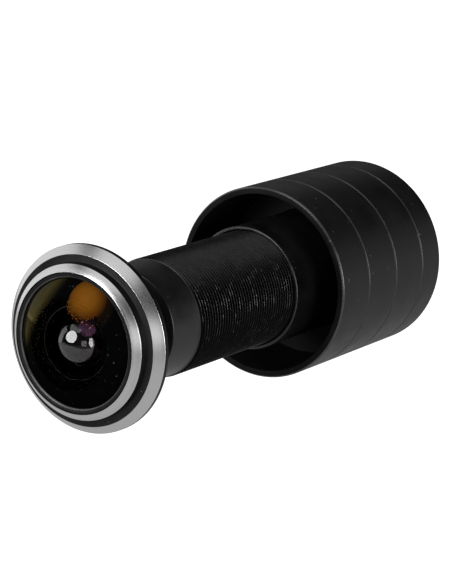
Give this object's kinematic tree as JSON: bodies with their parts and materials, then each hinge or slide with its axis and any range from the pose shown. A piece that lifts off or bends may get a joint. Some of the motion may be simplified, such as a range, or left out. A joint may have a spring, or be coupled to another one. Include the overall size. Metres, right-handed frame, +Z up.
{
  "type": "door viewer camera",
  "caption": "Wide-angle door viewer: a domed lens in a stepped round head on a threaded barrel, with a hollow cup that screws along the barrel to clamp the door.",
  "frame": {"origin": "on the viewer's axis, in the plane of the flange's back face, which rests on the outside of the door", "axes": "+Y along the axis from the lens to the clamp cup, so the lens faces -Y; +Z up; +X to the lens's left seen from outside"},
  "size_m": [0.0236, 0.0624, 0.0236],
  "materials": {
    "black_anodised": "black anodised, satin",
    "black_paint": "black, semi-gloss",
    "black_plastic": "black, matte",
    "rubber": "black, matte",
    "clear_glass": "polished, coated",
    "coated_glass": "polished, coated",
    "filter_glass": "polished, cyan tint",
    "brass": "turned",
    "spring_steel": "bright",
    "can_aluminium": "drawn, bright",
    "board_green": "green solder mask",
    "chip_black": "moulded, matte",
    "connector_white": "moulded, matte",
    "sensor_ceramic": "dark, satin"
  },
  "bodies": {
    "viewer_body": {"lens_head": "black_anodised", "dome_lens": "clear_glass", "dome_seal": "rubber", "retaining_ring": "black_paint", "lens_cell": "black_anodised", "lens_element_2": "coated_glass", "front_spacer": "black_anodised", "lens_element_3": "coated_glass", "aperture_stop": "black_paint", "lens_element_4": "coated_glass", "lens_element_5": "coated_glass", "cell_lock_ring": "black_anodised", "barrel": "black_anodised", "sensor_holder": "black_plastic", "infrared_filter": "filter_glass", "image_sensor": "sensor_ceramic", "sensor_cover_glass": "clear_glass", "sensor_board": "board_green", "sensor_processor": "chip_black", "sensor_connector": "connector_white", "module_lock_ring": "brass"},
    "rear_carrier": {"rear_cover": "black_anodised", "cover_seal": "rubber", "cable_grommet": "rubber", "main_board": "board_green", "video_processor": "chip_black", "voltage_regulator": "chip_black", "timing_crystal": "spring_steel", "board_connector": "connector_white", "capacitor_1": "can_aluminium", "capacitor_2": "can_aluminium", "cover_screw_1": "spring_steel", "board_spacer_1": "brass", "board_nut_1": "brass", "cover_screw_2": "spring_steel", "board_spacer_2": "brass", "board_nut_2": "brass", "cover_screw_3": "spring_steel", "board_spacer_3": "brass", "board_nut_3": "brass"},
    "clamp_cup": {"clamp_cup": "black_anodised", "threaded_bush": "black_anodised", "snap_ring": "spring_steel"}
  },
  "joints": [
    {"name": "cup_travel", "type": "slide", "parent": "viewer_body", "child": "rear_carrier", "axis": [0, 1, 0], "range_m": [-0.0035, 0.008]},
    {"name": "cup_turn", "type": "hinge", "parent": "rear_carrier", "child": "clamp_cup", "pos_m": [0, 0.0339, 0], "axis": [0, 1, 0], "range_deg": [-2520, 5760]}
  ],
  "couplings": [
    {"joint": "cup_travel", "follows": "cup_turn", "m_per_rad": 0.000079577}
  ]
}
